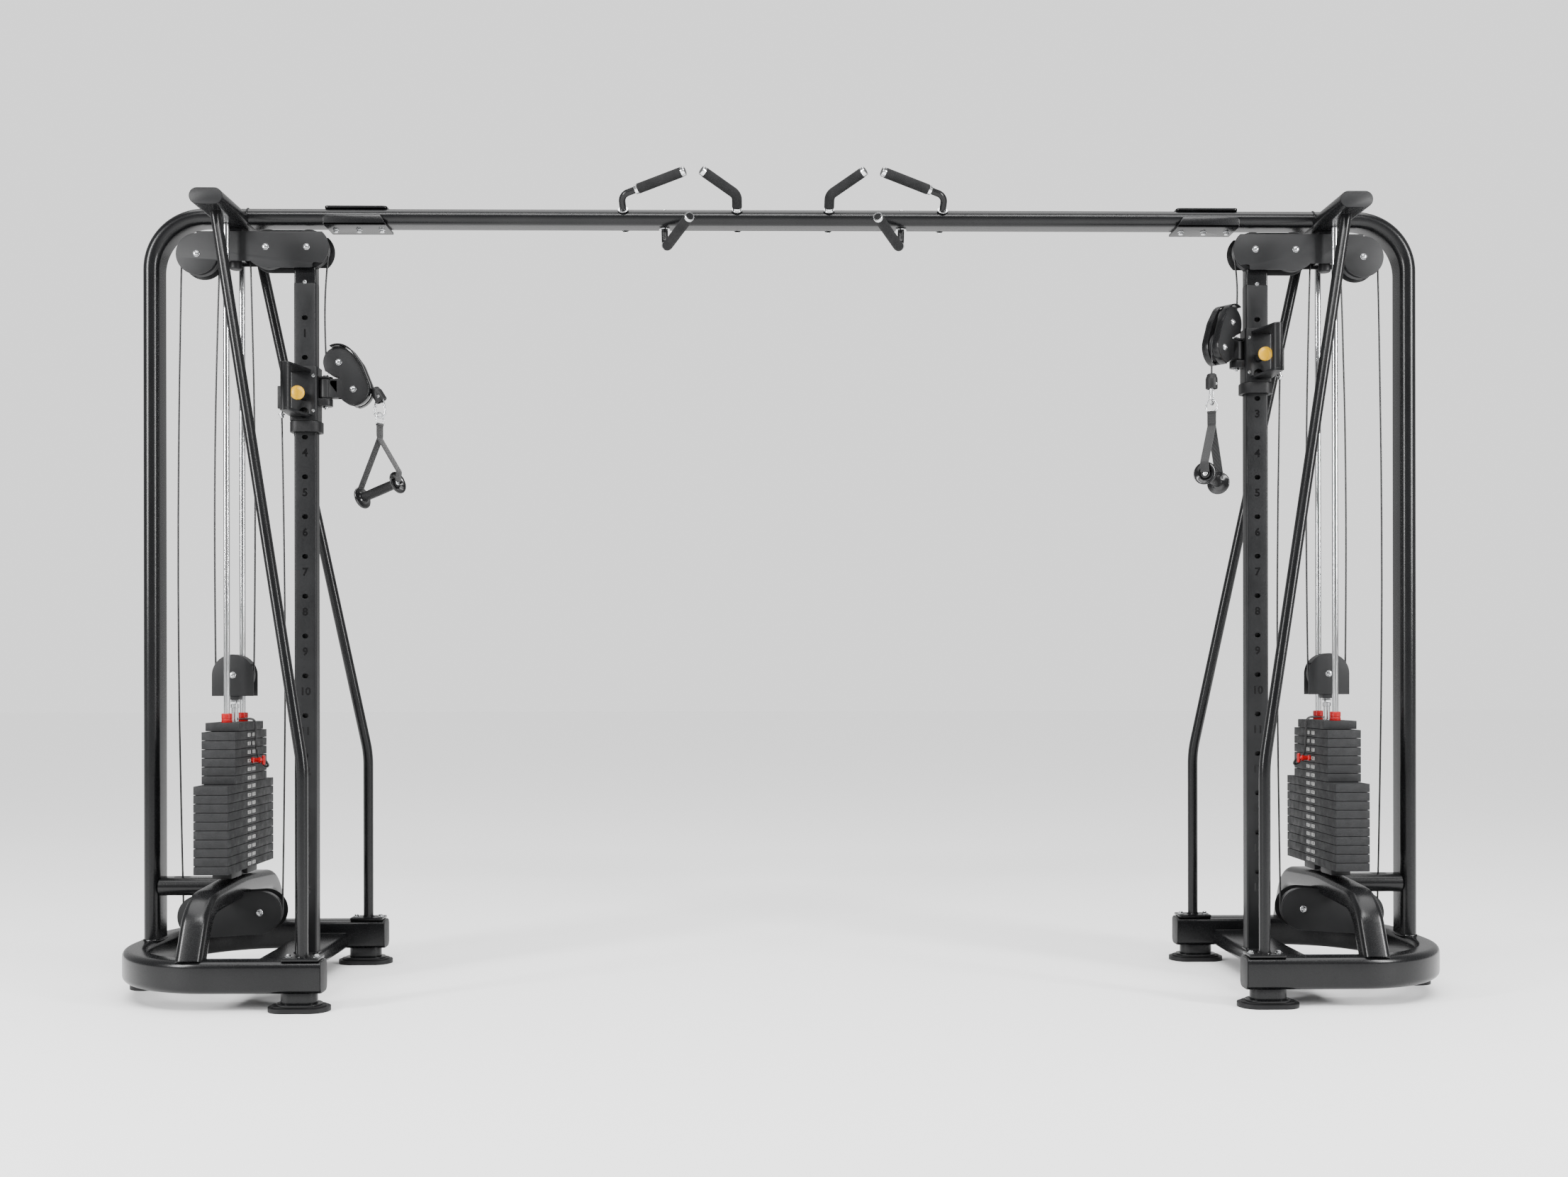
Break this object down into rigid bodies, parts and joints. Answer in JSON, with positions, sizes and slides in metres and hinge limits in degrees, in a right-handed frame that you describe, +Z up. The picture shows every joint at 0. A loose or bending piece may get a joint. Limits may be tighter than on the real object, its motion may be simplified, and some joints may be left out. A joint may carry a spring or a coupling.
{
  "type": "cable crossover machine",
  "caption": "Free-standing cable crossover: twin weight-stack towers with sliding, swivelling pulley carriages and strap handles, joined overhead by a beam with pull-up grips.",
  "frame": {"origin": "on the floor, midway between the two towers and midway between the front and rear of their bases", "axes": "+X along the overhead beam, towards the right tower as seen from the user side; +Y from the user side towards the back; +Z up"},
  "size_m": [4.099, 0.879, 2.5541],
  "materials": {
    "frame_powder_coat": "fine-textured black powder coat, semi-gloss on the edges",
    "satin_black_paint": "satin black paint",
    "chrome": "polished chrome plate with faint lengthwise lines",
    "stack_iron": "charcoal fine-grain coating on cast iron",
    "pulley_nylon": "moulded black nylon with a worn groove",
    "cable_jacket": "smooth black nylon jacket over steel rope",
    "red_plastic": "glossy red moulded plastic",
    "yellow_plastic": "glossy yellow moulded plastic",
    "zinc_hook": "zinc-plated steel with a black rubber stop",
    "strap_webbing": "woven black webbing with a moulded black grip",
    "foam_grip": "fine-grain black foam sleeve on a black steel bar"
  },
  "bodies": {
    "frame": {"base_frame_left": "frame_powder_coat", "corner_frame_left": "frame_powder_coat", "front_brace_left": "frame_powder_coat", "rear_brace_left": "frame_powder_coat", "mast_left": "satin_black_paint", "guide_rods_left": "chrome", "top_pulley_housing_left": "frame_powder_coat", "plates_resting_left": "stack_iron", "cable_left": "cable_jacket", "base_frame_right": "frame_powder_coat", "corner_frame_right": "frame_powder_coat", "front_brace_right": "frame_powder_coat", "rear_brace_right": "frame_powder_coat", "mast_right": "satin_black_paint", "guide_rods_right": "chrome", "top_pulley_housing_right": "frame_powder_coat", "plates_resting_right": "stack_iron", "cable_right": "cable_jacket", "centre_beam": "frame_powder_coat", "pull_up_inner_left": "foam_grip", "pull_up_outer_left": "foam_grip", "pull_up_lower_left": "foam_grip", "pull_up_inner_right": "foam_grip", "pull_up_outer_right": "foam_grip", "pull_up_lower_right": "foam_grip"},
    "stack_left": {"stack_head_left": "satin_black_paint", "plates_lifted_left": "stack_iron", "lanyard_left": "cable_jacket"},
    "top_pulley_outer_left": {"top_pulley_outer_left": "pulley_nylon"},
    "top_pulley_mid_left": {"top_pulley_mid_left": "pulley_nylon"},
    "top_pulley_inner_left": {"top_pulley_inner_left": "pulley_nylon"},
    "bottom_pulley_outer_left": {"bottom_pulley_outer_left": "pulley_nylon"},
    "bottom_pulley_inner_left": {"bottom_pulley_inner_left": "pulley_nylon"},
    "stack_pulley_left": {"stack_pulley_left": "pulley_nylon"},
    "selector_pin_left": {"selector_pin_left": "red_plastic"},
    "carriage_left": {"carriage_left": "satin_black_paint"},
    "plunger_left": {"plunger_left": "yellow_plastic"},
    "arm_pulley_upper_left": {"arm_pulley_upper_left": "pulley_nylon"},
    "arm_pulley_lower_left": {"arm_pulley_lower_left": "pulley_nylon"},
    "arm_left": {"pulley_arm_left": "frame_powder_coat"},
    "hook_left": {"snap_hook_left": "zinc_hook"},
    "handle_left": {"strap_handle_left": "strap_webbing"},
    "stack_right": {"stack_head_right": "satin_black_paint", "plates_lifted_right": "stack_iron", "lanyard_right": "cable_jacket"},
    "top_pulley_outer_right": {"top_pulley_outer_right": "pulley_nylon"},
    "top_pulley_mid_right": {"top_pulley_mid_right": "pulley_nylon"},
    "top_pulley_inner_right": {"top_pulley_inner_right": "pulley_nylon"},
    "bottom_pulley_outer_right": {"bottom_pulley_outer_right": "pulley_nylon"},
    "bottom_pulley_inner_right": {"bottom_pulley_inner_right": "pulley_nylon"},
    "stack_pulley_right": {"stack_pulley_right": "pulley_nylon"},
    "selector_pin_right": {"selector_pin_right": "red_plastic"},
    "carriage_right": {"carriage_right": "satin_black_paint"},
    "plunger_right": {"plunger_right": "yellow_plastic"},
    "arm_pulley_upper_right": {"arm_pulley_upper_right": "pulley_nylon"},
    "arm_pulley_lower_right": {"arm_pulley_lower_right": "pulley_nylon"},
    "arm_right": {"pulley_arm_right": "frame_powder_coat"},
    "hook_right": {"snap_hook_right": "zinc_hook"},
    "handle_right": {"strap_handle_right": "strap_webbing"}
  },
  "joints": [
    {"name": "stack_slide_left", "type": "slide", "parent": "frame", "child": "stack_left", "axis": [0, 0, 1], "range_m": [0, 1.1], "deforming": ["cable_left"]},
    {"name": "stack_pulley_spin_left", "type": "hinge", "parent": "stack_left", "child": "stack_pulley_left", "pos_m": [-1.736, 0, 0.981], "axis": [0, 1, 0], "continuous": true},
    {"name": "top_mid_spin_left", "type": "hinge", "parent": "frame", "child": "top_pulley_mid_left", "pos_m": [-1.626, 0, 2.3275], "axis": [0, 1, 0], "continuous": true},
    {"name": "top_inner_spin_left", "type": "hinge", "parent": "frame", "child": "top_pulley_inner_left", "pos_m": [-1.498, 0, 2.3275], "axis": [0, 1, 0], "continuous": true},
    {"name": "top_outer_spin_left", "type": "hinge", "parent": "frame", "child": "top_pulley_outer_left", "pos_m": [-1.842, 0, 2.305], "axis": [0, 1, 0], "continuous": true},
    {"name": "bottom_outer_spin_left", "type": "hinge", "parent": "frame", "child": "bottom_pulley_outer_left", "pos_m": [-1.838, 0, 0.222], "axis": [0, 1, 0], "continuous": true},
    {"name": "bottom_inner_spin_left", "type": "hinge", "parent": "frame", "child": "bottom_pulley_inner_left", "pos_m": [-1.647, 0, 0.234], "axis": [0, 1, 0], "continuous": true},
    {"name": "selector_pin_slide_left", "type": "slide", "parent": "stack_left", "child": "selector_pin_left", "axis": [1, 0, 0], "range_m": [0, 0.045]},
    {"name": "carriage_slide_left", "type": "slide", "parent": "frame", "child": "carriage_left", "axis": [0, 0, 1], "range_m": [-1.3805, 0.251], "deforming": ["cable_left"]},
    {"name": "plunger_slide_left", "type": "slide", "parent": "carriage_left", "child": "plunger_left", "axis": [0, -1, 0], "range_m": [0, 0.018], "stiffness_N_per_m": 800, "springref_m": -0.01},
    {"name": "arm_swivel_left", "type": "hinge", "parent": "carriage_left", "child": "arm_left", "pos_m": [-1.448, 0, 1.857], "axis": [0, 0, 1], "range_deg": [-80, 80], "deforming": ["cable_left"]},
    {"name": "arm_pulley_upper_spin_left", "type": "hinge", "parent": "arm_left", "child": "arm_pulley_upper_left", "pos_m": [-1.4035, 0, 1.969], "axis": [0, 1, 0], "continuous": true},
    {"name": "arm_pulley_lower_spin_left", "type": "hinge", "parent": "arm_left", "child": "arm_pulley_lower_left", "pos_m": [-1.358, 0, 1.884], "axis": [0, 1, 0], "continuous": true},
    {"name": "handle_pull_left", "type": "slide", "parent": "arm_left", "child": "hook_left", "axis": [1, 0, 0], "range_m": [0, 2.2]},
    {"name": "handle_swing_left", "type": "hinge", "parent": "hook_left", "child": "handle_left", "pos_m": [-1.278, 0, 1.797], "axis": [0, 1, 0], "range_deg": [-15, 4]},
    {"name": "stack_slide_right", "type": "slide", "parent": "frame", "child": "stack_right", "axis": [0, 0, 1], "range_m": [0, 1.1], "deforming": ["cable_right"]},
    {"name": "stack_pulley_spin_right", "type": "hinge", "parent": "stack_right", "child": "stack_pulley_right", "pos_m": [1.736, 0, 0.981], "axis": [0, 1, 0], "continuous": true},
    {"name": "top_mid_spin_right", "type": "hinge", "parent": "frame", "child": "top_pulley_mid_right", "pos_m": [1.626, 0, 2.3275], "axis": [0, 1, 0], "continuous": true},
    {"name": "top_inner_spin_right", "type": "hinge", "parent": "frame", "child": "top_pulley_inner_right", "pos_m": [1.498, 0, 2.3275], "axis": [0, 1, 0], "continuous": true},
    {"name": "top_outer_spin_right", "type": "hinge", "parent": "frame", "child": "top_pulley_outer_right", "pos_m": [1.842, 0, 2.305], "axis": [0, 1, 0], "continuous": true},
    {"name": "bottom_outer_spin_right", "type": "hinge", "parent": "frame", "child": "bottom_pulley_outer_right", "pos_m": [1.838, 0, 0.222], "axis": [0, 1, 0], "continuous": true},
    {"name": "bottom_inner_spin_right", "type": "hinge", "parent": "frame", "child": "bottom_pulley_inner_right", "pos_m": [1.647, 0, 0.234], "axis": [0, 1, 0], "continuous": true},
    {"name": "selector_pin_slide_right", "type": "slide", "parent": "stack_right", "child": "selector_pin_right", "axis": [-1, 0, 0], "range_m": [0, 0.045]},
    {"name": "carriage_slide_right", "type": "slide", "parent": "frame", "child": "carriage_right", "axis": [0, 0, 1], "range_m": [-1.3805, 0.1255], "deforming": ["cable_right"]},
    {"name": "plunger_slide_right", "type": "slide", "parent": "carriage_right", "child": "plunger_right", "axis": [0, -1, 0], "range_m": [0, 0.018], "stiffness_N_per_m": 800, "springref_m": -0.01},
    {"name": "arm_swivel_right", "type": "hinge", "parent": "carriage_right", "child": "arm_right", "pos_m": [1.448, 0, 1.9825], "axis": [0, 0, 1], "range_deg": [-120, 40], "deforming": ["cable_right"]},
    {"name": "arm_pulley_upper_spin_right", "type": "hinge", "parent": "arm_right", "child": "arm_pulley_upper_right", "pos_m": [1.41391, -0.0286, 2.0945], "axis": [-0.6428, 0.766, 0], "continuous": true},
    {"name": "arm_pulley_lower_spin_right", "type": "hinge", "parent": "arm_right", "child": "arm_pulley_lower_right", "pos_m": [1.37906, -0.05785, 2.0095], "axis": [-0.6428, 0.766, 0], "continuous": true},
    {"name": "handle_pull_right", "type": "slide", "parent": "arm_right", "child": "hook_right", "axis": [-0.766, -0.6428, 0], "range_m": [0, 2.2]},
    {"name": "handle_swing_right", "type": "hinge", "parent": "hook_right", "child": "handle_right", "pos_m": [1.34305, -0.08806, 1.8255], "axis": [-0.6428, 0.766, 0], "range_deg": [-4, 15]}
  ],
  "couplings": [
    {"joint": "stack_pulley_spin_left", "follows": "stack_slide_left", "rad_per_m": -16.667},
    {"joint": "top_mid_spin_left", "follows": "stack_slide_left", "rad_per_m": 33.333},
    {"joint": "top_inner_spin_left", "follows": "stack_slide_left", "rad_per_m": 33.333},
    {"joint": "top_outer_spin_left", "follows": "carriage_slide_left", "rad_per_m": -16.667},
    {"joint": "bottom_outer_spin_left", "follows": "carriage_slide_left", "rad_per_m": -16.667},
    {"joint": "bottom_inner_spin_left", "follows": "carriage_slide_left", "rad_per_m": -16.667},
    {"joint": "arm_pulley_upper_spin_left", "follows": "stack_slide_left", "rad_per_m": -44.944},
    {"joint": "arm_pulley_lower_spin_left", "follows": "stack_slide_left", "rad_per_m": 44.944},
    {"joint": "handle_pull_left", "follows": "stack_slide_left", "ratio": 2},
    {"joint": "stack_pulley_spin_right", "follows": "stack_slide_right", "rad_per_m": 16.667},
    {"joint": "top_mid_spin_right", "follows": "stack_slide_right", "rad_per_m": -33.333},
    {"joint": "top_inner_spin_right", "follows": "stack_slide_right", "rad_per_m": -33.333},
    {"joint": "top_outer_spin_right", "follows": "carriage_slide_right", "rad_per_m": 16.667},
    {"joint": "bottom_outer_spin_right", "follows": "carriage_slide_right", "rad_per_m": 16.667},
    {"joint": "bottom_inner_spin_right", "follows": "carriage_slide_right", "rad_per_m": 16.667},
    {"joint": "arm_pulley_upper_spin_right", "follows": "stack_slide_right", "rad_per_m": 44.944},
    {"joint": "arm_pulley_lower_spin_right", "follows": "stack_slide_right", "rad_per_m": -44.944},
    {"joint": "handle_pull_right", "follows": "stack_slide_right", "ratio": 2}
  ]
}
